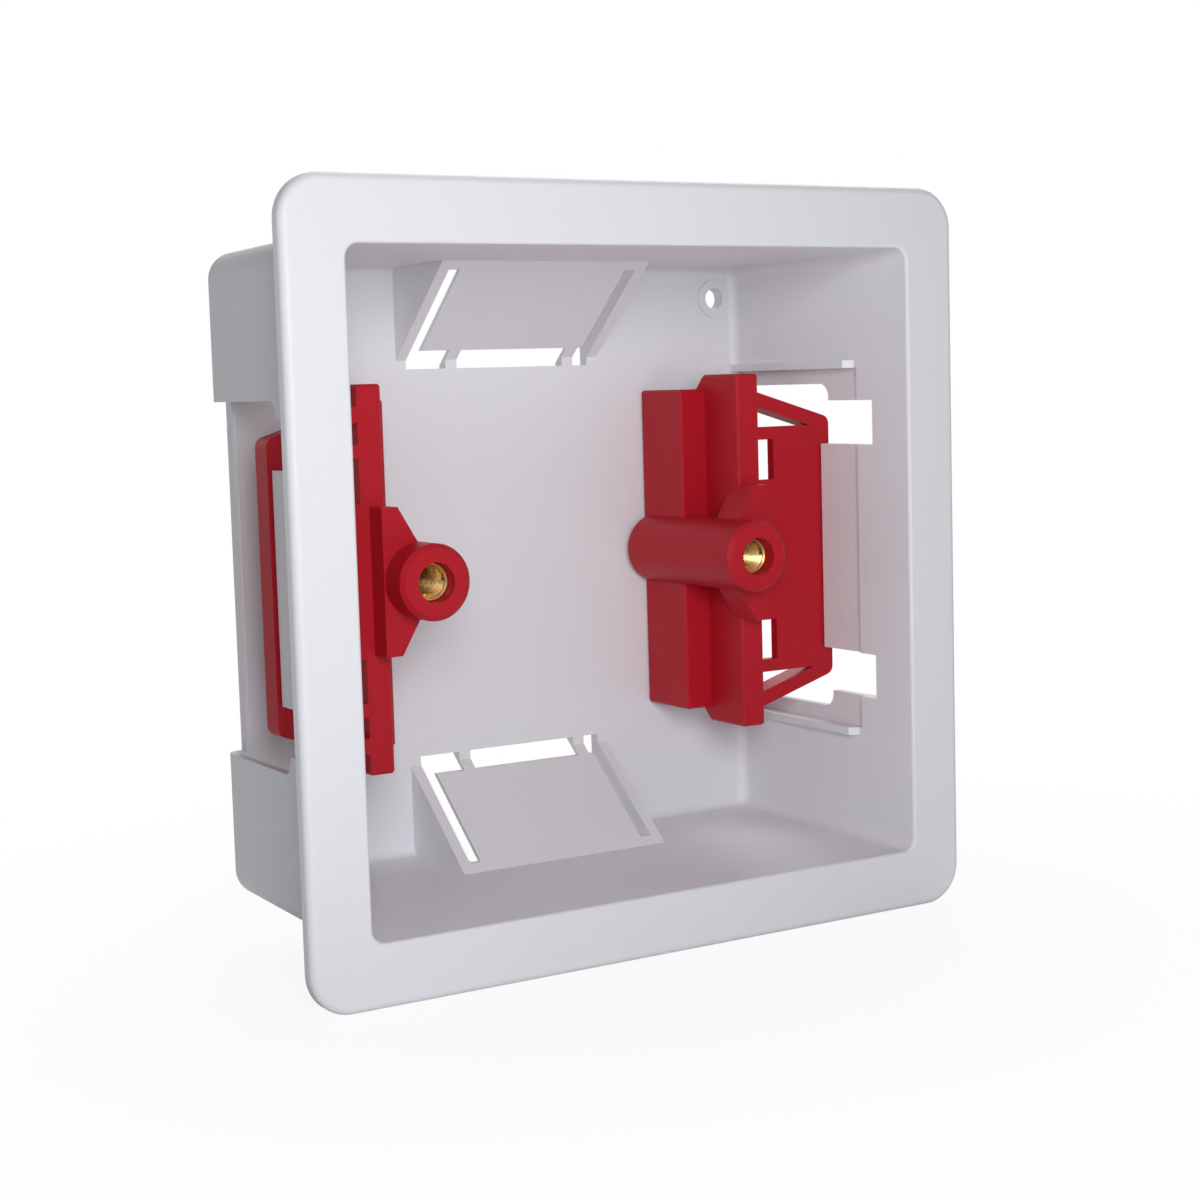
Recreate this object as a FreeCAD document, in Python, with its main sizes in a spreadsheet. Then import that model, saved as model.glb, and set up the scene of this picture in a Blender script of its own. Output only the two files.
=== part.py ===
import FreeCAD, Part
import os

import Sketcher

# Drywall back box: one moulded box with a front flange, and two red lugs that slide
# out sideways behind the plasterboard, each with a brass screw insert in its boss.
# X runs to the right, Y into the wall and Z up. The origin is the centre of the
# cut-out in the wall, in the plane where the back of the flange seats on the board.

SIZES = {
    # Flange and mouth
    "flange_size": 83.0,
    "flange_thickness": 1.8,
    "flange_corner": 4.5,
    "flange_edge": 0.9,
    "flange_width": 6.8,
    "mouth_corner": 1.5,
    "mouth_edge": 0.4,
    # Tub behind the flange
    "side_wall": 1.7,
    "rear_wall": 1.5,
    "tub_depth": 33.2,
    "tub_corner": 3.0,
    "tub_rear_round": 2.0,
    "inner_rear_round": 1.2,
    "draft_angle": 0.86,
    # Opening in each side wall for the wing of the lug
    "window_height": 39.2,
    "window_lead": 1.9,
    "window_corner": 1.6,
    "window_trim": 0.8,
    "slot_step": 2.0,
    "slot_front": 4.7,
    "slot_width": 5.2,
    # Guide channel for the lug inside each side wall
    "channel_front": 7.5,
    "guide_clearance": 0.3,
    "rib_height": 0.9,
    "rib_proud": 1.0,
    "rib_ramp": 1.2,
    # Knock-outs in the top and bottom rear corners
    "knockout_width": 24.4,
    "knockout_depth": 12.5,
    "knockout_foot": 23.7,
    "panel_wall": 1.4,
    "cheek_wall": 1.3,
    "cheek_slot": 1.1,
    "cheek_slot_margin": 0.7,
    "foot_slot_lead": 1.0,
    "foot_slot_height": 2.1,
    "bridge_width": 1.5,
    "left_bridge": 6.35,
    "right_bridge": 9.45,
    # Fixing holes through the rear wall
    "fixing_inset_x": 3.7,
    "fixing_inset_z": 4.1,
    "fixing_radius": 1.3,
    "fixing_ring": 2.3,
    "fixing_ring_height": 0.3,
    # Lug: boss for the faceplate screw
    "lug_travel": 8.8,
    "travel_clearance": 0.3,
    "boss_inset": 13.85,
    "boss_radius": 4.15,
    "boss_front": 8.7,
    "boss_chamfer": 0.5,
    "boss_rear_gap": 1.2,
    # Lug: upright plates
    "back_plate_offset": 1.15,
    "back_plate_gap": 0.3,
    "back_plate_thickness": 1.5,
    "back_plate_height": 38.8,
    "web_front": 22.6,
    "web_thickness": 1.5,
    "slide_plate_offset": 2.35,
    "slide_plate_thickness": 2.9,
    "slide_plate_height": 42.2,
    "slide_plate_depth": 9.0,
    "slide_plate_chamfer": 1.7,
    "plate_edge": 0.25,
    "gusset_front": 12.7,
    "gusset_depth": 4.5,
    "gusset_height": 16.0,
    "gusset_width": 1.9,
    # Lug: wing that bears on the back of the board
    "wing_front": 15.7,
    "wing_seat_gap": 0.3,
    "wing_reach": 10.5,
    "wing_thickness": 1.2,
    "wing_height": 29.4,
    "slit_inner": 8.4,
    "slit_outer": 13.2,
    "slit_reach": 2.2,
    "strut_root": 19.3,
    "strut_tip": 15.6,
    "strut_height": 1.8,
    "rim_width": 1.5,
    "rim_depth": 3.0,
    "rim_round": 1.1,
    # Brass insert in the boss
    "insert_recess": 1.5,
    "insert_radius": 2.15,
    "insert_length": 9.6,
    "thread_radius": 1.45,
    "thread_chamfer": 0.3,
    "screw_clearance": 1.9,
    "bore_rear_wall": 2.0,
}

doc = FreeCAD.newDocument("BackBox")
sheet = doc.addObject("Spreadsheet::Sheet", "Sizes")
for row, (alias, number) in enumerate(SIZES.items(), start=1):
    sheet.set(f"A{row}", alias)
    sheet.set(f"B{row}", str(number))
    sheet.setAlias(f"B{row}", alias)
doc.recompute()

# Sizes that follow from the sheet, as expressions that the features hold
FLANGE_HALF = "(Sizes.flange_size / 2)"
MOUTH_HALF = f"({FLANGE_HALF} - Sizes.flange_width)"
TUB_HALF = f"({MOUTH_HALF} + Sizes.side_wall)"
FLANGE_FRONT = "(0 - Sizes.flange_thickness)"
INNER_REAR = "(Sizes.tub_depth - Sizes.rear_wall)"
DRAFT_IN = f"(tan(Sizes.draft_angle * 1 deg) * ({INNER_REAR} + Sizes.flange_thickness))"
INNER_HALF = f"({MOUTH_HALF} - {DRAFT_IN})"
FIXING_X = f"({MOUTH_HALF} - Sizes.fixing_inset_x)"
FIXING_Z = f"({MOUTH_HALF} - Sizes.fixing_inset_z)"
BOSS_X = f"({MOUTH_HALF} - Sizes.boss_inset)"
PLATE_INNER = f"({BOSS_X} + Sizes.slide_plate_offset)"
PLATE_OUTER = f"({PLATE_INNER} + Sizes.slide_plate_thickness)"
CHANNEL_FLOOR = f"({PLATE_OUTER} + Sizes.lug_travel + Sizes.travel_clearance)"
CHANNEL_HALF = "(Sizes.slide_plate_height / 2 + Sizes.guide_clearance)"
WINDOW_FRONT = "(Sizes.wing_front - Sizes.window_lead)"
TONGUE_END = "(Sizes.wing_front - Sizes.wing_seat_gap)"
KNOCKOUT_HALF = "(Sizes.knockout_width / 2)"
KNOCKOUT_RISE = f"({INNER_HALF} - Sizes.knockout_foot)"
KNOCKOUT_FRONT = f"({INNER_REAR} - Sizes.knockout_depth)"
BOSS_REAR = f"({INNER_REAR} - Sizes.boss_rear_gap)"
BACK_PLATE_REAR = f"({INNER_REAR} - Sizes.back_plate_gap)"
INSERT_FRONT = "(Sizes.boss_front + Sizes.insert_recess)"
INSERT_REAR = f"({INSERT_FRONT} + Sizes.insert_length)"
WING_TIP = f"({PLATE_OUTER} + Sizes.wing_reach)"


def number_of(expression):
    """The present value of an expression on the sheet."""
    found = sheet.evalExpression(expression)
    return float(getattr(found, "Value", found))


def origin_plane(body, role):
    """One of the body's own origin planes, by its role."""
    return next(item for item in body.Origin.OriginFeatures if item.Role == role)


# Each axis with the plane square to it and the way that plane's normal points
PLANES = {"X": ("YZ_Plane", 1), "Y": ("XZ_Plane", -1), "Z": ("XY_Plane", 1)}


def new_sketch(body, name, axis, level="0", shift="0"):
    """A sketch square to an axis, at a level along it, its own origin shifted in X."""
    sketch = body.newObject("Sketcher::SketchObject", name)
    role, normal = PLANES[axis]
    sketch.AttachmentSupport = (origin_plane(body, role), [""])
    sketch.MapMode = "FlatFace"
    sketch.setExpression("AttachmentOffset.Base.z", f"{normal} * {level}")
    sketch.setExpression("AttachmentOffset.Base.x", shift)
    return sketch


def tie(sketch, geometry, point, direction, expression):
    """Hold one coordinate of a point at the value of an expression."""
    amount = number_of(expression)
    if abs(amount) < 1e-9:
        other_axis = -2 if direction == "X" else -1
        sketch.addConstraint(Sketcher.Constraint("PointOnObject", geometry, point, other_axis))
        return
    rule = Sketcher.Constraint("Distance" + direction, -1, 1, geometry, point, amount)
    index = sketch.addConstraint(rule)
    sketch.setExpression(f"Constraints[{index}]", expression)


def draw_outline(sketch, corners):
    """A closed outline of straight lines through corners given as pairs of expressions."""
    places = [FreeCAD.Vector(number_of(u), number_of(v), 0) for u, v in corners]
    count = len(places)
    first = sketch.GeometryCount
    for index in range(count):
        following = places[(index + 1) % count]
        sketch.addGeometry(Part.LineSegment(places[index], following), False)
    for index in range(count):
        line = first + index
        next_line = first + (index + 1) % count
        sketch.addConstraint(Sketcher.Constraint("Coincident", line, 2, next_line, 1))
    for index, (u, v) in enumerate(corners):
        tie(sketch, first + index, 1, "X", u)
        tie(sketch, first + index, 1, "Y", v)


def draw_rectangle(sketch, low_u, low_v, high_u, high_v):
    """A rectangle between two corners given as expressions."""
    draw_outline(sketch, [(low_u, low_v), (high_u, low_v), (high_u, high_v), (low_u, high_v)])


def draw_circle(sketch, centre_u, centre_v, radius):
    """A circle whose centre and radius are expressions."""
    centre = FreeCAD.Vector(number_of(centre_u), number_of(centre_v), 0)
    curve = Part.Circle(centre, FreeCAD.Vector(0, 0, 1), number_of(radius))
    geometry = sketch.addGeometry(curve, False)
    tie(sketch, geometry, 3, "X", centre_u)
    tie(sketch, geometry, 3, "Y", centre_v)
    rule = Sketcher.Constraint("Radius", geometry, number_of(radius))
    index = sketch.addConstraint(rule)
    sketch.setExpression(f"Constraints[{index}]", radius)


def extrude(body, kind, name, axis, start, length, draw, sense=1, taper=None):
    """A pad or pocket from a level along an axis, over a length, in the sense given."""
    sketch = new_sketch(body, name + "Sketch", axis, start)
    draw(sketch)
    before = body.Shape.Volume if body.Tip else 0.0
    feature = body.newObject("PartDesign::" + kind, name)
    feature.Profile = sketch
    feature.setExpression("Length", length)
    along_normal = PLANES[axis][1] * sense > 0
    feature.Reversed = along_normal if kind == "Pocket" else not along_normal
    if taper:
        feature.setExpression("TaperAngle", taper)
    doc.recompute()
    changed = body.Shape.Volume - before
    if (changed <= 0) == (kind == "Pad"):
        raise ValueError(f"{name} changes the volume by {changed:.3f}")
    return feature


def mirror(body, feature, role):
    """Repeat a feature on the other side of one of the body's origin planes."""
    copy = body.newObject("PartDesign::Mirrored", feature.Name + "Mirror")
    copy.Originals = [feature]
    copy.MirrorPlane = (origin_plane(body, role), [""])
    body.Tip = copy
    doc.recompute()
    return copy


def round_edges(body, name, radius, chosen, kind="Fillet"):
    """Round or chamfer the edges of the body's tip for which the test holds."""
    base = body.Tip
    names = [
        f"Edge{index}"
        for index, edge in enumerate(base.Shape.Edges, start=1)
        if chosen(edge)
    ]
    if not names:
        raise ValueError(f"{name} finds no edge")
    feature = body.newObject("PartDesign::" + kind, name)
    feature.Base = (base, names)
    feature.setExpression("Radius" if kind == "Fillet" else "Size", radius)
    doc.recompute()
    return feature


def middle(edge):
    """The point half way along an edge."""
    return edge.valueAt((edge.FirstParameter + edge.LastParameter) / 2)


def reach(edge):
    """How far the middle of an edge lies from the axis of the box, across or up."""
    place = middle(edge)
    return max(abs(place.x), abs(place.z))


def runs_along_depth(edge):
    """Whether an edge runs mainly into the wall."""
    box = edge.BoundBox
    return box.YLength > 4 * max(box.XLength, box.ZLength)


def lies_at_depth(edge, depth):
    """Whether an edge lies flat at one depth."""
    box = edge.BoundBox
    return box.YLength < 0.01 and abs(box.YMin - depth) < 0.01


def new_body(name):
    """A body whose label names its file."""
    body = doc.addObject("PartDesign::Body", name)
    body.Label = name
    return body


def draw_square(half):
    """A square about the axis of the box, as a drawing step."""
    return lambda sketch: draw_rectangle(sketch, f"0 - {half}", f"0 - {half}", half, half)


def make_shell(body):
    """Flange and hollow tub, with the draft that lets the moulding leave its tool."""
    extrude(body, "Pad", "Flange", "Y", FLANGE_FRONT, "Sizes.flange_thickness", draw_square(FLANGE_HALF))
    round_edges(body, "FlangeCorners", "Sizes.flange_corner", runs_along_depth)

    inward = "0 - Sizes.draft_angle"
    extrude(body, "Pad", "Tub", "Y", "0", "Sizes.tub_depth", draw_square(TUB_HALF), taper=inward)
    tub_half = number_of(TUB_HALF)
    round_edges(
        body, "TubCorners", "Sizes.tub_corner",
        lambda edge: runs_along_depth(edge) and middle(edge).y > 0 and abs(middle(edge).x) < tub_half,
    )
    rear = number_of("Sizes.tub_depth")
    round_edges(body, "TubRear", "Sizes.tub_rear_round", lambda edge: lies_at_depth(edge, rear))
    front = number_of(FLANGE_FRONT)
    round_edges(body, "FlangeFront", "Sizes.flange_edge", lambda edge: lies_at_depth(edge, front))

    depth = f"{INNER_REAR} + Sizes.flange_thickness"
    extrude(body, "Pocket", "Interior", "Y", FLANGE_FRONT, depth, draw_square(MOUTH_HALF), taper=inward)
    mouth_half = number_of(MOUTH_HALF)
    inner_half = number_of(INNER_HALF)

    def in_mouth_corner(edge):
        place = middle(edge)
        across = min(abs(place.x), abs(place.z))
        return runs_along_depth(edge) and inner_half - 0.1 < across < mouth_half + 0.1

    round_edges(body, "InteriorCorners", "Sizes.mouth_corner", in_mouth_corner)
    inner_rear = number_of(INNER_REAR)
    round_edges(body, "InteriorRear", "Sizes.inner_rear_round", lambda edge: lies_at_depth(edge, inner_rear))
    round_edges(
        body, "MouthEdge", "Sizes.mouth_edge",
        lambda edge: lies_at_depth(edge, front) and reach(edge) < mouth_half + 0.1,
    )


def make_guides(body):
    """Flat channel and two ribs inside each side wall, which guide the lug's plate."""
    rib_inner = f"({INNER_HALF} + {DRAFT_IN} / 2 - Sizes.rib_proud)"
    rib_root = f"({MOUTH_HALF} + Sizes.side_wall / 3)"
    rear = f"({INNER_REAR} + Sizes.rear_wall / 2)"
    ramp_end = "(Sizes.channel_front + Sizes.rib_ramp)"
    rib = [
        (rib_root, "Sizes.channel_front"),
        (rib_root, rear),
        (rib_inner, rear),
        (rib_inner, ramp_end),
    ]
    lower = f"(0 - {CHANNEL_HALF} - Sizes.rib_height)"
    for name, start in (("UpperRib", CHANNEL_HALF), ("LowerRib", lower)):
        added = extrude(
            body, "Pad", name, "Z", start, "Sizes.rib_height",
            lambda sketch: draw_outline(sketch, rib),
        )
        mirror(body, added, "YZ_Plane")

    length = f"{INNER_REAR} - Sizes.channel_front"
    cut = extrude(
        body, "Pocket", "Channel", "Y", "Sizes.channel_front", length,
        lambda sketch: draw_rectangle(
            sketch, rib_inner, f"0 - {CHANNEL_HALF}", CHANNEL_FLOOR, CHANNEL_HALF,
        ),
    )
    mirror(body, cut, "YZ_Plane")


def make_side_openings(body):
    """Window for the wing, open to the rear, and two slots beside a tongue ahead of it."""
    beyond = "(Sizes.tub_depth + 1)"
    window = "(Sizes.window_height / 2)"
    slot = f"({window} - Sizes.slot_step)"
    tongue = f"({slot} - Sizes.slot_width)"
    upper = [
        (beyond, window),
        (WINDOW_FRONT, window),
        (WINDOW_FRONT, slot),
        ("Sizes.slot_front", slot),
        ("Sizes.slot_front", tongue),
        (TONGUE_END, tongue),
    ]
    lower = [(depth, f"0 - {height}") for depth, height in reversed(upper)]
    start = f"({MOUTH_HALF} - Sizes.window_trim)"
    cut = extrude(
        body, "Pocket", "SideOpening", "X", start, "Sizes.side_wall * 4",
        lambda sketch: draw_outline(sketch, upper + lower),
    )
    mirror(body, cut, "YZ_Plane")
    window_front = number_of(WINDOW_FRONT)
    window_top = number_of(window)

    def at_window_corner(edge):
        place = middle(edge)
        across = edge.BoundBox.XLength > max(edge.BoundBox.YLength, edge.BoundBox.ZLength)
        return across and abs(place.y - window_front) < 0.01 and abs(abs(place.z) - window_top) < 0.01

    round_edges(body, "WindowCorners", "Sizes.window_corner", at_window_corner)


def make_knockouts(body):
    """Sloped break-out panel between two cheeks in the top and bottom rear corners."""
    cheek_outer = f"({KNOCKOUT_HALF} + Sizes.cheek_wall)"
    slope = f"sqrt(Sizes.knockout_depth ^ 2 + {KNOCKOUT_RISE} ^ 2) / Sizes.knockout_depth"
    wall_rise = f"(Sizes.panel_wall * {slope})"
    fall = f"({KNOCKOUT_RISE} / Sizes.knockout_depth)"
    rear = "(Sizes.tub_depth - Sizes.rear_wall / 3)"
    top = f"({INNER_HALF} + Sizes.side_wall / 2)"
    foot_at_rear = f"(Sizes.knockout_foot - {fall} * ({rear} - {INNER_REAR}))"
    front_at_top = f"({KNOCKOUT_FRONT} - ({top} - {INNER_HALF}) / {fall})"
    block = [(rear, foot_at_rear), (rear, top), (front_at_top, top)]

    beyond = "(Sizes.tub_depth + 1)"
    above = f"({TUB_HALF} + 1)"
    cut_foot = f"(Sizes.knockout_foot + {wall_rise} - {fall} * ({beyond} - {INNER_REAR}))"
    cut_front = f"({KNOCKOUT_FRONT} - ({above} - {INNER_HALF} - {wall_rise}) / {fall})"
    wedge = [(beyond, cut_foot), (beyond, above), (cut_front, above)]

    added = extrude(
        body, "Pad", "KnockoutBlock", "X", f"(0 - {cheek_outer})", f"2 * {cheek_outer}",
        lambda sketch: draw_outline(sketch, block),
    )
    mirror(body, added, "XY_Plane")
    cut = extrude(
        body, "Pocket", "KnockoutHollow", "X", f"(0 - {KNOCKOUT_HALF})", "Sizes.knockout_width",
        lambda sketch: draw_outline(sketch, wedge),
    )
    mirror(body, cut, "XY_Plane")


def make_knockout_slots(body):
    """Slots that leave each panel hanging on its top edge and on two narrow bridges."""
    low = "(Sizes.knockout_foot - Sizes.foot_slot_lead)"
    high = f"({low} + Sizes.foot_slot_height)"
    top = f"({INNER_HALF} - Sizes.cheek_slot_margin)"
    side = f"({KNOCKOUT_HALF} - Sizes.cheek_slot)"
    half_bridge = "Sizes.bridge_width / 2"
    left_end = f"(0 - Sizes.left_bridge - {half_bridge})"
    middle_start = f"({half_bridge} - Sizes.left_bridge)"
    middle_end = f"(Sizes.right_bridge - {half_bridge})"
    right_start = f"(Sizes.right_bridge + {half_bridge})"
    left = [
        (f"0 - {KNOCKOUT_HALF}", low),
        (left_end, low),
        (left_end, high),
        (f"0 - {side}", high),
        (f"0 - {side}", top),
        (f"0 - {KNOCKOUT_HALF}", top),
    ]
    right = [
        (KNOCKOUT_HALF, low),
        (KNOCKOUT_HALF, top),
        (side, top),
        (side, high),
        (right_start, high),
        (right_start, low),
    ]

    def slots(sketch):
        draw_outline(sketch, left)
        draw_rectangle(sketch, middle_start, low, middle_end, high)
        draw_outline(sketch, right)

    start = f"({KNOCKOUT_FRONT} - Sizes.rear_wall)"
    cut = extrude(body, "Pocket", "KnockoutSlots", "Y", start, "Sizes.tub_depth", slots)
    mirror(body, cut, "XY_Plane")


def make_fixing_holes(body):
    """Ringed screw holes in two opposite corners of the rear wall."""
    places = [(FIXING_X, FIXING_Z), (f"0 - {FIXING_X}", f"0 - {FIXING_Z}")]
    ring_front = f"({INNER_REAR} - Sizes.fixing_ring_height)"

    def circles(radius):
        def draw(sketch):
            for across, up in places:
                draw_circle(sketch, across, up, radius)
        return draw

    height = "Sizes.fixing_ring_height + Sizes.rear_wall / 2"
    extrude(body, "Pad", "FixingRings", "Y", ring_front, height, circles("Sizes.fixing_ring"))
    holes = circles("Sizes.fixing_radius")
    extrude(body, "Pocket", "FixingHoles", "Y", ring_front, "Sizes.tub_depth", holes)


def make_box():
    """The one-piece moulded back box."""
    body = new_body("box_body")
    make_shell(body)
    make_guides(body)
    make_knockouts(body)
    make_knockout_slots(body)
    make_side_openings(body)
    make_fixing_holes(body)
    return body


def make_lug(name, side):
    """One sliding lug; side is 1 on the right and -1 on the left."""
    body = new_body(name)

    def at(distance):
        return f"({side} * {distance})"

    def plate(title, inner, thickness, front, rear, half_height):
        extrude(
            body, "Pad", title, "Y", front, f"{rear} - {front}",
            lambda sketch: draw_rectangle(
                sketch, at(inner), f"0 - {half_height}", at(f"({inner} + {thickness})"), half_height,
            ),
        )

    extrude(
        body, "Pad", "Boss", "Y", "Sizes.boss_front", f"{BOSS_REAR} - Sizes.boss_front",
        lambda sketch: draw_circle(sketch, at(BOSS_X), "0", "Sizes.boss_radius"),
    )
    boss_front = number_of("Sizes.boss_front")
    round_edges(
        body, "BossMouth", "Sizes.boss_chamfer", lambda edge: lies_at_depth(edge, boss_front), "Chamfer",
    )

    back_plate = f"({BOSS_X} - Sizes.back_plate_offset)"
    web_length = f"({PLATE_OUTER} - {back_plate})"
    web_rear = "(Sizes.web_front + Sizes.web_thickness)"
    half = "Sizes.back_plate_height / 2"
    plate("BackPlate", back_plate, "Sizes.back_plate_thickness", "Sizes.web_front", BACK_PLATE_REAR, half)
    plate("Web", back_plate, web_length, "Sizes.web_front", web_rear, half)
    make_slide_plate(body, side)
    make_gusset(body, at)
    bevel_plate_edges(body, back_plate)
    make_wing(body, at)
    make_rim(body, at)
    make_boss_bore(body, at)
    return body


def make_slide_plate(body, side):
    """The plate that runs in the channel, with its rear corners cut back."""
    half = "(Sizes.slide_plate_height / 2)"
    cut_half = f"({half} - Sizes.slide_plate_chamfer)"
    rear = "(Sizes.wing_front + Sizes.slide_plate_depth)"
    cut_depth = f"({rear} - Sizes.slide_plate_chamfer)"
    corners = [
        ("Sizes.wing_front", f"0 - {half}"),
        (cut_depth, f"0 - {half}"),
        (rear, f"0 - {cut_half}"),
        (rear, cut_half),
        (cut_depth, half),
        ("Sizes.wing_front", half),
    ]
    extrude(
        body, "Pad", "SlidePlate", "X", f"({side} * {PLATE_INNER})", "Sizes.slide_plate_thickness",
        lambda sketch: draw_outline(sketch, corners), sense=side,
    )


def make_gusset(body, at):
    """The tapered block that joins the boss to the slide plate."""
    root = "(Sizes.gusset_height / 2)"
    boss_half = "(Sizes.boss_radius * 0.96)"
    outer = f"({PLATE_INNER} + Sizes.gusset_width)"
    corners = [
        (at(BOSS_X), f"0 - {boss_half}"),
        (at(PLATE_INNER), f"0 - {root}"),
        (at(outer), f"0 - {root}"),
        (at(outer), root),
        (at(PLATE_INNER), root),
        (at(BOSS_X), boss_half),
    ]
    extrude(
        body, "Pad", "Gusset", "Y", "Sizes.gusset_front", "Sizes.gusset_depth",
        lambda sketch: draw_outline(sketch, corners),
    )


def bevel_plate_edges(body, back_plate):
    """Narrow bevels on the ends and the upright corners of the plates."""
    corners = [
        (PLATE_INNER, "Sizes.wing_front"),
        (PLATE_INNER, "(Sizes.wing_front + Sizes.slide_plate_depth)"),
        (PLATE_OUTER, "(Sizes.wing_front + Sizes.slide_plate_depth)"),
        (back_plate, "Sizes.web_front"),
        (back_plate, BACK_PLATE_REAR),
        (f"({back_plate} + Sizes.back_plate_thickness)", BACK_PLATE_REAR),
    ]
    places = [(number_of(across), number_of(depth)) for across, depth in corners]
    back_half = number_of("Sizes.back_plate_height / 2")
    plate_inner = number_of(PLATE_INNER)
    web_middle = number_of("Sizes.web_front + Sizes.web_thickness / 2")

    def at_plate_edge(edge):
        place = middle(edge)
        across = abs(place.x)
        in_web_joint = abs(across - plate_inner) < 0.01 and abs(place.y - web_middle) < 0.01
        at_corner = any(abs(across - x) < 0.01 and abs(place.y - y) < 0.01 for x, y in places)
        return at_corner or (abs(place.z) > back_half - 0.01 and not in_web_joint)

    round_edges(body, "PlateEdges", "Sizes.plate_edge", at_plate_edge, "Chamfer")


def make_wing(body, at):
    """The thin wing that reaches out through the side window, with two slits at its root."""
    half = "(Sizes.wing_height / 2)"
    root = f"({PLATE_OUTER} - Sizes.slide_plate_thickness / 2)"
    edge = f"({WING_TIP} - Sizes.rim_width / 2)"
    slit = f"({PLATE_OUTER} + Sizes.slit_reach)"

    def wing(sketch):
        draw_rectangle(sketch, at(root), f"0 - {half}", at(edge), half)

    def slits(sketch):
        draw_rectangle(sketch, at(PLATE_OUTER), "Sizes.slit_inner", at(slit), "Sizes.slit_outer")
        draw_rectangle(sketch, at(PLATE_OUTER), "0 - Sizes.slit_outer", at(slit), "0 - Sizes.slit_inner")

    extrude(body, "Pad", "Wing", "Y", "Sizes.wing_front", "Sizes.wing_thickness", wing)
    extrude(body, "Pocket", "WingSlits", "Y", "Sizes.wing_front", "Sizes.wing_thickness", slits)


def make_rim(body, at):
    """The deep rim round the wing: a sloping strut at each end and a bar along the tip."""
    root = f"({PLATE_OUTER} - Sizes.slide_plate_thickness / 2)"
    bar = f"({WING_TIP} - Sizes.rim_width)"
    fall = f"((Sizes.strut_root - Sizes.strut_tip) / ({WING_TIP} - {root}))"
    under = f"(Sizes.strut_root - Sizes.strut_height - {fall} * ({bar} - {root}))"
    upper = [
        (bar, under),
        (root, "(Sizes.strut_root - Sizes.strut_height)"),
        (root, "Sizes.strut_root"),
        (WING_TIP, "Sizes.strut_tip"),
    ]
    lower = [(across, f"0 - {up}") for across, up in reversed(upper)]
    extrude(
        body, "Pad", "Rim", "Y", "Sizes.wing_front", "Sizes.rim_depth",
        lambda sketch: draw_outline(sketch, [(at(across), up) for across, up in upper + lower]),
    )
    tip = number_of(WING_TIP)
    round_edges(
        body, "RimCorners", "Sizes.rim_round",
        lambda edge: runs_along_depth(edge) and abs(abs(middle(edge).x) - tip) < 0.01,
    )


def make_boss_bore(body, at):
    """The stepped blind bore that holds the insert and clears the screw's end."""
    sketch = new_sketch(body, "BossBoreSketch", "Z", shift=at(BOSS_X))
    bore_rear = f"({BOSS_REAR} - Sizes.bore_rear_wall)"
    draw_outline(
        sketch,
        [
            ("0", "Sizes.boss_front"),
            ("Sizes.insert_radius", "Sizes.boss_front"),
            ("Sizes.insert_radius", INSERT_REAR),
            ("Sizes.screw_clearance", INSERT_REAR),
            ("Sizes.screw_clearance", bore_rear),
            ("0", bore_rear),
        ],
    )
    groove = body.newObject("PartDesign::Groove", "BossBore")
    groove.Profile = sketch
    groove.ReferenceAxis = (sketch, ["V_Axis"])
    groove.Angle = 360
    doc.recompute()


def make_insert(name, side):
    """The brass insert, threaded for the faceplate screw, shown by its bore."""
    body = new_body(name)
    sketch = new_sketch(body, "InsertSketch", "Z", shift=f"({side} * {BOSS_X})")
    flare = "(Sizes.thread_radius + Sizes.thread_chamfer)"
    draw_outline(
        sketch,
        [
            (flare, INSERT_FRONT),
            ("Sizes.insert_radius", INSERT_FRONT),
            ("Sizes.insert_radius", INSERT_REAR),
            (flare, INSERT_REAR),
            ("Sizes.thread_radius", f"({INSERT_REAR} - Sizes.thread_chamfer)"),
            ("Sizes.thread_radius", f"({INSERT_FRONT} + Sizes.thread_chamfer)"),
        ],
    )
    turned = body.newObject("PartDesign::Revolution", "Turned")
    turned.Profile = sketch
    turned.ReferenceAxis = (sketch, ["V_Axis"])
    turned.Angle = 360
    doc.recompute()
    return body


bodies = [make_box()]
for hand, side in (("left", -1), ("right", 1)):
    bodies.append(make_lug(f"{hand}_clamp", side))
    bodies.append(make_insert(f"{hand}_insert", side))
doc.recompute()

for item in doc.Objects:
    if {"Invalid", "Error"} & set(item.State):
        raise ValueError(f"{item.Name} failed: {item.State}")
for body in bodies:
    if body.Shape.isNull() or not body.Shape.isValid():
        raise ValueError(f"{body.Label} has no valid shape")
    if len(body.Shape.Solids) != 1:
        raise ValueError(f"{body.Label} is not one solid")

os.makedirs("parts", exist_ok=True)
for body in bodies:
    body.Shape.exportStep(f"parts/{body.Label}.step")
    box = body.Shape.BoundBox
    print(body.Label, round(body.Shape.Volume, 1), [round(v, 2) for v in (
        box.XMin, box.XMax, box.YMin, box.YMax, box.ZMin, box.ZMax)])
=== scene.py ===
import math

import bpy
from mathutils import Matrix, Vector


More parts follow.
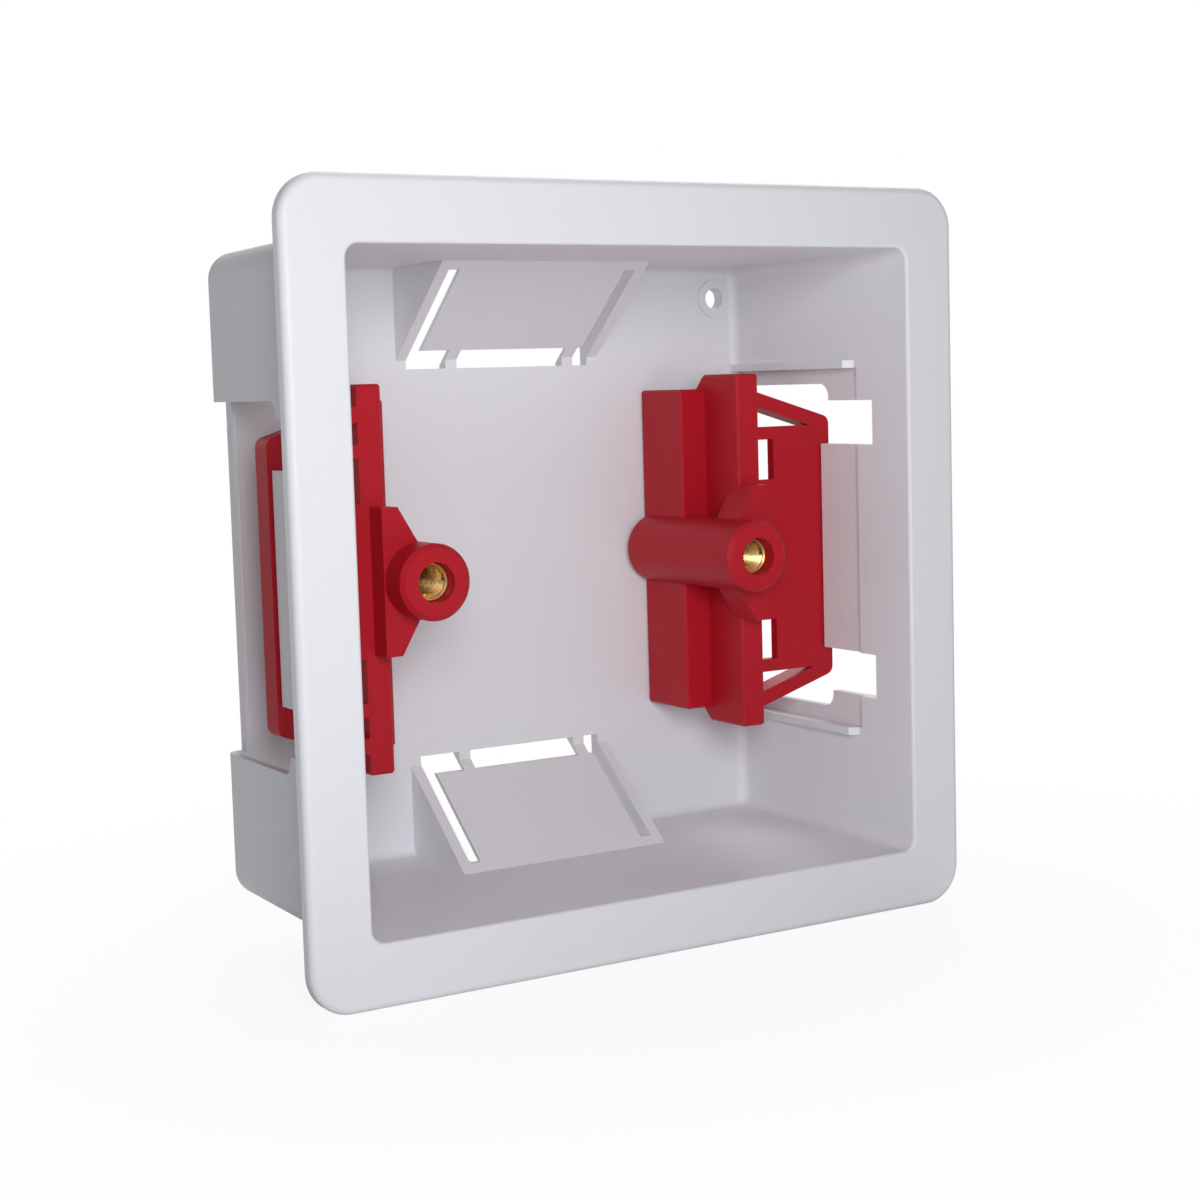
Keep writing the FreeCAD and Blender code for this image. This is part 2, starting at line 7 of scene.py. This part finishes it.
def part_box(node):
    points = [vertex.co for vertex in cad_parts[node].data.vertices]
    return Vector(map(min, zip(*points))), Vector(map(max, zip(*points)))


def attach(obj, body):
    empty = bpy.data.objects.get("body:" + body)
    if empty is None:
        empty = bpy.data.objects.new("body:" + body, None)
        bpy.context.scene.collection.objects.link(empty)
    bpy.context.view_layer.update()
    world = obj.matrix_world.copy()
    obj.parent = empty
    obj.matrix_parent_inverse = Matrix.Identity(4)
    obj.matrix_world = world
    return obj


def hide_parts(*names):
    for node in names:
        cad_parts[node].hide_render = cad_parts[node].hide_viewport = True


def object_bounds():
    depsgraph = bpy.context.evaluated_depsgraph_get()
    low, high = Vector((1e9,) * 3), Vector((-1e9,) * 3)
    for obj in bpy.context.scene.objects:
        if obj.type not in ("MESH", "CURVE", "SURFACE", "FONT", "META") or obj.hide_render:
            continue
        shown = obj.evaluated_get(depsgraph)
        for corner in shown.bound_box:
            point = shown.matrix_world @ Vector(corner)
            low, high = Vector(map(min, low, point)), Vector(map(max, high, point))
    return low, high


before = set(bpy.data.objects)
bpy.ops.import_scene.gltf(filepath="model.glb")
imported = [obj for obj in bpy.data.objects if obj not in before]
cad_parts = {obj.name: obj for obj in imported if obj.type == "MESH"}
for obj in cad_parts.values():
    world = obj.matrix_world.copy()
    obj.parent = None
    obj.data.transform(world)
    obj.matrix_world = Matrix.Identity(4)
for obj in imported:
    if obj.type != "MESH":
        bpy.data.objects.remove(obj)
cad_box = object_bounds()
scene = bpy.context.scene

# Camera and light
# The box is seen from the front left and slightly from above. A soft lamp stands beside
# the lens, a second one lights the back, and the backdrop fills the rest.
SEAT_TO_LENS = Vector((-0.1234, -0.19357, 0.02056))
VIEW_POINT = Vector((-0.00607, 0.0, -0.00236))
ROLL = math.radians(1.67)
camera_data = bpy.data.cameras.new("photo_camera")
camera_data.sensor_width = 36.0
camera_data.lens = 64.46
camera_data.clip_start = 0.01
camera = bpy.data.objects.new("photo_camera", camera_data)
scene.collection.objects.link(camera)
aim = (VIEW_POINT - SEAT_TO_LENS).to_track_quat("-Z", "Y").to_matrix().to_4x4()
camera.matrix_world = Matrix.Translation(SEAT_TO_LENS) @ aim @ Matrix.Rotation(-ROLL, 4, "Z")
scene.camera = camera

scene.view_settings.view_transform = "Standard"


def studio_lamp(name, place, target, size, power):
    """A square soft lamp aimed at a point."""
    lamp = bpy.data.lights.new(name, "AREA")
    lamp.size = size
    lamp.energy = power
    made = bpy.data.objects.new(name, lamp)
    scene.collection.objects.link(made)
    made.location = place
    made.rotation_euler = (target - place).to_track_quat("-Z", "Y").to_euler()
    made.visible_camera = False


BOX_MIDDLE = Vector((0, 0, 0))
studio_lamp("near_lamp", Vector((-0.084, -0.175, 0.046)), BOX_MIDDLE, size=0.08, power=0.25)
studio_lamp("back_lamp", Vector((0.40, 0.45, 0.65)), BOX_MIDDLE, size=0.6, power=4.0)

world = bpy.data.worlds.new("studio")
world.use_nodes = True
scene.world = world
world_nodes = world.node_tree.nodes
world_links = world.node_tree.links
world_nodes.clear()
path = world_nodes.new("ShaderNodeLightPath")
fill = world_nodes.new("ShaderNodeBackground")
fill.inputs["Color"].default_value = (0.97, 0.98, 1.0, 1)
fill.inputs["Strength"].default_value = 0.14
white = world_nodes.new("ShaderNodeBackground")
white.inputs["Color"].default_value = (1, 1, 1, 1)
white.inputs["Strength"].default_value = 1.0
seen = world_nodes.new("ShaderNodeMath")
seen.operation = "MAXIMUM"
seen_through = world_nodes.new("ShaderNodeMath")
seen_through.operation = "MAXIMUM"
choose = world_nodes.new("ShaderNodeMixShader")
world_out = world_nodes.new("ShaderNodeOutputWorld")
world_links.new(path.outputs["Is Camera Ray"], seen.inputs[0])
world_links.new(path.outputs["Is Glossy Ray"], seen.inputs[1])
world_links.new(seen.outputs[0], seen_through.inputs[0])
world_links.new(path.outputs["Is Transmission Ray"], seen_through.inputs[1])
world_links.new(seen_through.outputs[0], choose.inputs["Fac"])
world_links.new(fill.outputs[0], choose.inputs[1])
world_links.new(white.outputs[0], choose.inputs[2])
world_links.new(choose.outputs[0], world_out.inputs["Surface"])

# Floor
# A pale studio table under the lower edge of the flange. It fades to the white of
# the backdrop, and keeps only the soft shadow where the flange stands.
FLOOR_SIZE = 3.0
SHADOW_REACH = 0.13
SHADOW_SHARE = 0.10
floor_level = cad_box[0][2]
bpy.ops.object.select_all(action="DESELECT")
bpy.ops.mesh.primitive_plane_add(size=FLOOR_SIZE, location=(0, 0, floor_level))
floor = bpy.context.object
floor.name = "studio_floor"
floor_material = bpy.data.materials.new("studio_floor")
floor_material.use_nodes = True
floor_nodes = floor_material.node_tree.nodes
floor_links = floor_material.node_tree.links
floor_nodes.clear()
floor_path = floor_nodes.new("ShaderNodeLightPath")
floor_lit = floor_nodes.new("ShaderNodeBsdfDiffuse")
floor_lit.inputs["Color"].default_value = (0.9, 0.9, 0.9, 1)
floor_white = floor_nodes.new("ShaderNodeEmission")
floor_white.inputs["Strength"].default_value = 1.0
floor_place = floor_nodes.new("ShaderNodeTexCoord")
floor_distance = floor_nodes.new("ShaderNodeVectorMath")
floor_distance.operation = "LENGTH"
floor_fade = floor_nodes.new("ShaderNodeMapRange")
floor_fade.interpolation_type = "SMOOTHERSTEP"
floor_fade.inputs["From Min"].default_value = 0.0
floor_fade.inputs["From Max"].default_value = SHADOW_REACH
floor_fade.inputs["To Min"].default_value = 1.0 - SHADOW_SHARE
floor_fade.inputs["To Max"].default_value = 1.0
floor_share = floor_nodes.new("ShaderNodeMath")
floor_share.operation = "MULTIPLY"
floor_mix = floor_nodes.new("ShaderNodeMixShader")
floor_out = floor_nodes.new("ShaderNodeOutputMaterial")
floor_links.new(floor_place.outputs["Object"], floor_distance.inputs[0])
floor_links.new(floor_distance.outputs["Value"], floor_fade.inputs["Value"])
floor_links.new(floor_path.outputs["Is Camera Ray"], floor_share.inputs[0])
floor_links.new(floor_fade.outputs["Result"], floor_share.inputs[1])
floor_links.new(floor_share.outputs[0], floor_mix.inputs["Fac"])
floor_links.new(floor_lit.outputs[0], floor_mix.inputs[1])
floor_links.new(floor_white.outputs[0], floor_mix.inputs[2])
floor_links.new(floor_mix.outputs[0], floor_out.inputs["Surface"])
floor.data.materials.append(floor_material)

# Box body
# One injection moulding in a cool off-white thermoplastic, spark-eroded to a fine
# satin grain, with a trace of flow marks.
def group_of(name, inputs, outputs):
    """A shader node group with its sockets, and the two nodes that carry them."""
    made = bpy.data.node_groups.new(name, "ShaderNodeTree")
    for title, kind, value in inputs:
        socket = made.interface.new_socket(title, in_out="INPUT", socket_type=kind)
        if value is not None:
            socket.default_value = value
    for title, kind in outputs:
        made.interface.new_socket(title, in_out="OUTPUT", socket_type=kind)
    entry = made.nodes.new("NodeGroupInput")
    leave = made.nodes.new("NodeGroupOutput")
    return made, entry, leave


moulded, moulded_in, moulded_out = group_of(
    "moulded_surface",
    [
        ("Plain Colour", "NodeSocketColor", (0.8, 0.8, 0.8, 1)),
        ("Flow Colour", "NodeSocketColor", (0.7, 0.7, 0.7, 1)),
        ("Flow Amount", "NodeSocketFloat", 0.3),
        ("Grain Scale", "NodeSocketFloat", 4000.0),
        ("Roughness", "NodeSocketFloat", 0.4),
        ("Roughness Spread", "NodeSocketFloat", 0.1),
    ],
    [
        ("Colour", "NodeSocketColor"),
        ("Roughness", "NodeSocketFloat"),
        ("Grain", "NodeSocketFloat"),
    ],
)
place = moulded.nodes.new("ShaderNodeTexCoord")
flow = moulded.nodes.new("ShaderNodeTexNoise")
flow.inputs["Scale"].default_value = 28.0
flow.inputs["Detail"].default_value = 3.0
flow_share = moulded.nodes.new("ShaderNodeMath")
flow_share.operation = "MULTIPLY"
tint = moulded.nodes.new("ShaderNodeMix")
tint.data_type = "RGBA"
grain = moulded.nodes.new("ShaderNodeTexNoise")
grain.inputs["Detail"].default_value = 2.0
spread = moulded.nodes.new("ShaderNodeMapRange")
spread.inputs["To Min"].default_value = -0.5
spread.inputs["To Max"].default_value = 0.5
scaled = moulded.nodes.new("ShaderNodeMath")
scaled.operation = "MULTIPLY_ADD"
moulded.links.new(place.outputs["Object"], flow.inputs["Vector"])
moulded.links.new(place.outputs["Object"], grain.inputs["Vector"])
moulded.links.new(moulded_in.outputs["Grain Scale"], grain.inputs["Scale"])
moulded.links.new(flow.outputs["Fac"], flow_share.inputs[0])
moulded.links.new(moulded_in.outputs["Flow Amount"], flow_share.inputs[1])
moulded.links.new(flow_share.outputs[0], tint.inputs["Factor"])
moulded.links.new(moulded_in.outputs["Plain Colour"], tint.inputs["A"])
moulded.links.new(moulded_in.outputs["Flow Colour"], tint.inputs["B"])
moulded.links.new(tint.outputs["Result"], moulded_out.inputs["Colour"])
moulded.links.new(flow.outputs["Fac"], spread.inputs["Value"])
moulded.links.new(spread.outputs["Result"], scaled.inputs[0])
moulded.links.new(moulded_in.outputs["Roughness Spread"], scaled.inputs[1])
moulded.links.new(moulded_in.outputs["Roughness"], scaled.inputs[2])
moulded.links.new(scaled.outputs[0], moulded_out.inputs["Roughness"])
moulded.links.new(grain.outputs["Fac"], moulded_out.inputs["Grain"])


def moulded_plastic(name, plain, flow_colour, flow_amount, roughness, grain_height, specular):
    """A moulded plastic finish from the shared surface group."""
    made = bpy.data.materials.new(name)
    made.use_nodes = True
    nodes = made.node_tree.nodes
    links = made.node_tree.links
    shader = nodes["Principled BSDF"]
    surface = nodes.new("ShaderNodeGroup")
    surface.node_tree = moulded
    surface.inputs["Plain Colour"].default_value = plain
    surface.inputs["Flow Colour"].default_value = flow_colour
    surface.inputs["Flow Amount"].default_value = flow_amount
    surface.inputs["Roughness"].default_value = roughness
    bump = nodes.new("ShaderNodeBump")
    bump.inputs["Distance"].default_value = grain_height
    bump.inputs["Strength"].default_value = 0.5
    shader.inputs["Specular IOR Level"].default_value = specular
    links.new(surface.outputs["Colour"], shader.inputs["Base Color"])
    links.new(surface.outputs["Roughness"], shader.inputs["Roughness"])
    links.new(surface.outputs["Grain"], bump.inputs["Height"])
    links.new(bump.outputs["Normal"], shader.inputs["Normal"])
    return made


def dress(piece, material):
    """Give a piece one finish."""
    piece.data.materials.clear()
    piece.data.materials.append(material)


MERGE_DISTANCE = 1e-6
shell_finish = moulded_plastic(
    "shell_plastic", plain=(0.80, 0.805, 0.845, 1), flow_colour=(0.74, 0.745, 0.79, 1),
    flow_amount=0.4, roughness=0.46, grain_height=0.00003, specular=0.3,
)
bpy.ops.object.select_all(action="DESELECT")
packed_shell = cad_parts["box_body"]
packed_shell.select_set(True)
bpy.context.view_layer.objects.active = packed_shell
bpy.ops.object.duplicate()
shell = bpy.context.object
shell.name = "back_box"
bpy.ops.object.mode_set(mode="EDIT")
bpy.ops.mesh.select_all(action="SELECT")
bpy.ops.mesh.remove_doubles(threshold=MERGE_DISTANCE)
bpy.ops.object.mode_set(mode="OBJECT")
bpy.ops.mesh.customdata_custom_splitnormals_clear()
dress(shell, shell_finish)

# Break-out panels
# The sloped panel in the top and bottom rear corner is moulded thin and hangs between two
# slits, so that a thumb can break it out for a cable. Its outer side is pared down here.
PANEL_FOOT = 0.0237
PANEL_TOP = 0.034197
PANEL_REAR = 0.0317
PANEL_DEPTH = 0.0125
PANEL_WALL = 0.0005
PANEL_REACH = 0.0116
SLIT_INNER = 0.0108
SLIT_FOOT = 0.0242
SLIT_TOP = 0.033497
SLIT_RUN = 3 * PANEL_DEPTH
RELIEF = 0.004
OVERRUN = 0.005
FLAT_WITHIN = math.radians(0.3)
EDGE_FROM = math.radians(30)


def cut_away(piece, place, size, turn):
    """Take a box, turned about X, off a piece."""
    bpy.ops.object.select_all(action="DESELECT")
    bpy.ops.mesh.primitive_cube_add(size=1, location=place, rotation=(turn, 0, 0))
    waste = bpy.context.object
    waste.scale = size
    bpy.ops.object.transform_apply(location=True, rotation=True, scale=True)
    cut = piece.modifiers.new("cut", "BOOLEAN")
    cut.operation = "DIFFERENCE"
    cut.solver = "EXACT"
    cut.object = waste
    bpy.ops.object.select_all(action="DESELECT")
    piece.select_set(True)
    bpy.context.view_layer.objects.active = piece
    bpy.ops.object.modifier_apply(modifier="cut")
    bpy.data.objects.remove(waste)


panel_rise = PANEL_TOP - PANEL_FOOT
panel_length = math.hypot(PANEL_DEPTH, panel_rise)
slope = math.atan2(panel_rise, PANEL_DEPTH)
slit_height = SLIT_TOP - SLIT_FOOT
slit_middle = (SLIT_TOP + SLIT_FOOT) / 2
for up in (1, -1):
    along = Vector((0, -math.cos(slope), up * math.sin(slope)))
    outward = Vector((0, math.sin(slope), up * math.cos(slope)))
    foot = Vector((0, PANEL_REAR, up * PANEL_FOOT))
    middle = foot + along * panel_length / 2 + outward * (PANEL_WALL + RELIEF / 2)
    relief_size = (2 * PANEL_REACH, panel_length + 2 * OVERRUN, RELIEF)
    cut_away(shell, middle, relief_size, turn=-up * slope)
    for side in (1, -1):
        slit = (side * (SLIT_INNER + PANEL_REACH) / 2, PANEL_REAR, up * slit_middle)
        slit_size = (PANEL_REACH - SLIT_INNER, SLIT_RUN, slit_height)
        cut_away(shell, slit, slit_size, turn=0)

bpy.ops.object.mode_set(mode="EDIT")
bpy.ops.mesh.select_all(action="SELECT")
bpy.ops.mesh.dissolve_degenerate(threshold=MERGE_DISTANCE / 10)
bpy.ops.mesh.select_all(action="SELECT")
bpy.ops.mesh.dissolve_limited(angle_limit=FLAT_WITHIN)
bpy.ops.object.mode_set(mode="OBJECT")
bpy.ops.object.shade_smooth_by_angle(angle=EDGE_FROM)
even = shell.modifiers.new("even_faces", "WEIGHTED_NORMAL")
even.mode = "FACE_AREA"
even.weight = 100
even.keep_sharp = True
bpy.ops.object.modifier_apply(modifier="even_faces")
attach(shell, "box")
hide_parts("box_body")

# Sliding lugs
# Each lug is a red moulding with a semi-gloss skin. It hangs in the channels of the
# side wall, its wing reaching out behind the board.
lug_finish = moulded_plastic(
    "lug_plastic", plain=(0.50, 0.009, 0.021, 1), flow_colour=(0.35, 0.006, 0.015, 1),
    flow_amount=0.7, roughness=0.44, grain_height=0.00003, specular=0.22,
)
for node in ("left_clamp", "right_clamp"):
    dress(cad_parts[node], lug_finish)

# Brass inserts
# A turned brass bush with an M3.5 thread is pressed into the boss of each lug, just
# below its mouth. A bevel at each end leads the screw and the bush in.
THREAD_PITCH = 0.0006
THREAD_CREST = 0.00145
THREAD_ROOT = 0.00175
BUSH_RADIUS = 0.00214
BUSH_BEVEL = 0.00016
BUSH_STEPS = 64
THREAD_TURNS = 14
THREAD_STEPS = 40
THREAD_FLANK = 0.46 * THREAD_PITCH
THREAD_MERGE = 1e-7
TURNED_EDGE = math.radians(35)

brass = bpy.data.materials.new("turned_brass")
brass.use_nodes = True
brass_nodes = brass.node_tree.nodes
brass_links = brass.node_tree.links
brass_shader = brass_nodes["Principled BSDF"]
brass_shader.inputs["Metallic"].default_value = 1.0
brass_place = brass_nodes.new("ShaderNodeTexCoord")
brass_stain = brass_nodes.new("ShaderNodeTexNoise")
brass_stain.inputs["Scale"].default_value = 900.0
brass_stain.inputs["Detail"].default_value = 4.0
brass_tint = brass_nodes.new("ShaderNodeMix")
brass_tint.data_type = "RGBA"
brass_tint.inputs["A"].default_value = (0.86, 0.64, 0.30, 1)
brass_tint.inputs["B"].default_value = (0.62, 0.40, 0.15, 1)
brass_gloss = brass_nodes.new("ShaderNodeMapRange")
brass_gloss.inputs["To Min"].default_value = 0.18
brass_gloss.inputs["To Max"].default_value = 0.38
turning = brass_nodes.new("ShaderNodeTexWave")
turning.wave_type = "BANDS"
turning.bands_direction = "Y"
turning.inputs["Scale"].default_value = 9000.0
turning.inputs["Distortion"].default_value = 0.6
turning_bump = brass_nodes.new("ShaderNodeBump")
turning_bump.inputs["Distance"].default_value = 0.00001
turning_bump.inputs["Strength"].default_value = 0.3
brass_links.new(brass_place.outputs["Object"], brass_stain.inputs["Vector"])
brass_links.new(brass_place.outputs["Object"], turning.inputs["Vector"])
brass_links.new(brass_stain.outputs["Fac"], brass_tint.inputs["Factor"])
brass_links.new(brass_stain.outputs["Fac"], brass_gloss.inputs["Value"])
brass_links.new(brass_tint.outputs["Result"], brass_shader.inputs["Base Color"])
brass_links.new(brass_gloss.outputs["Result"], brass_shader.inputs["Roughness"])
brass_links.new(turning.outputs["Fac"], turning_bump.inputs["Height"])
brass_links.new(turning_bump.outputs["Normal"], brass_shader.inputs["Normal"])


def turn_barrel(name, axis_x, front, rear):
    """The barrel of the bush: its wall section, bevelled and spun about the screw's axis."""
    wall = BUSH_RADIUS - THREAD_ROOT
    bpy.ops.object.select_all(action="DESELECT")
    bpy.ops.mesh.primitive_plane_add(
        size=1, location=(axis_x + THREAD_ROOT + wall / 2, (front + rear) / 2, 0),
    )
    barrel = bpy.context.object
    barrel.name = name
    bpy.ops.object.mode_set(mode="EDIT")
    bpy.ops.mesh.select_all(action="SELECT")
    bpy.ops.transform.resize(value=(wall, rear - front, 1))
    bpy.ops.mesh.bevel(offset=BUSH_BEVEL, segments=1, affect="VERTICES")
    bpy.ops.mesh.select_all(action="SELECT")
    bpy.ops.mesh.delete(type="ONLY_FACE")
    bpy.ops.mesh.select_all(action="SELECT")
    bpy.ops.mesh.spin(steps=BUSH_STEPS, angle=2 * math.pi, center=(axis_x, 0, 0), axis=(0, 1, 0))
    bpy.ops.mesh.select_all(action="SELECT")
    bpy.ops.mesh.remove_doubles(threshold=MERGE_DISTANCE)
    bpy.ops.mesh.normals_make_consistent(inside=False)
    bpy.ops.object.mode_set(mode="OBJECT")
    bpy.ops.object.transform_apply(location=True, rotation=True, scale=True)
    return barrel


def cut_thread(axis_x, start):
    """The thread: a diamond section wound along the screw's axis, closed at both ends."""
    depth = THREAD_ROOT - THREAD_CREST
    bpy.ops.object.select_all(action="DESELECT")
    bpy.ops.mesh.primitive_circle_add(
        vertices=4, radius=depth, fill_type="NOTHING", location=(axis_x, start, 0),
    )
    ridge = bpy.context.object
    bpy.ops.object.mode_set(mode="EDIT")
    bpy.ops.mesh.select_all(action="SELECT")
    bpy.ops.transform.resize(value=(1, THREAD_FLANK / depth, 1))
    bpy.ops.transform.translate(value=(THREAD_ROOT, 0, 0))
    bpy.ops.object.mode_set(mode="OBJECT")
    winding = ridge.modifiers.new("winding", "SCREW")
    winding.axis = "Y"
    winding.angle = 2 * math.pi
    winding.screw_offset = THREAD_PITCH
    winding.iterations = THREAD_TURNS
    winding.steps = THREAD_STEPS
    winding.render_steps = THREAD_STEPS
    bpy.ops.object.modifier_apply(modifier="winding")
    bpy.ops.object.mode_set(mode="EDIT")
    bpy.ops.mesh.select_all(action="SELECT")
    bpy.ops.mesh.remove_doubles(threshold=THREAD_MERGE)
    bpy.ops.mesh.select_all(action="SELECT")
    bpy.ops.mesh.fill_holes(sides=0)
    bpy.ops.mesh.select_all(action="SELECT")
    bpy.ops.mesh.normals_make_consistent(inside=False)
    bpy.ops.object.mode_set(mode="OBJECT")
    bpy.ops.object.transform_apply(location=True, rotation=True, scale=True)
    return ridge


for hand in ("left", "right"):
    low, high = (Vector(corner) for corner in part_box(f"{hand}_insert"))
    axis_x = (low.x + high.x) / 2
    bush = turn_barrel(f"{hand}_bush", axis_x, low.y, high.y)
    run = THREAD_TURNS * THREAD_PITCH
    ridge = cut_thread(axis_x, (low.y + high.y - run) / 2)
    bpy.ops.object.select_all(action="DESELECT")
    ridge.select_set(True)
    bush.select_set(True)
    bpy.context.view_layer.objects.active = bush
    bpy.ops.object.join()
    bpy.ops.object.shade_smooth_by_angle(angle=TURNED_EDGE)
    bush.data.materials.clear()
    bush.data.materials.append(brass)
    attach(bush, f"{hand}_lug")
    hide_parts(f"{hand}_insert")
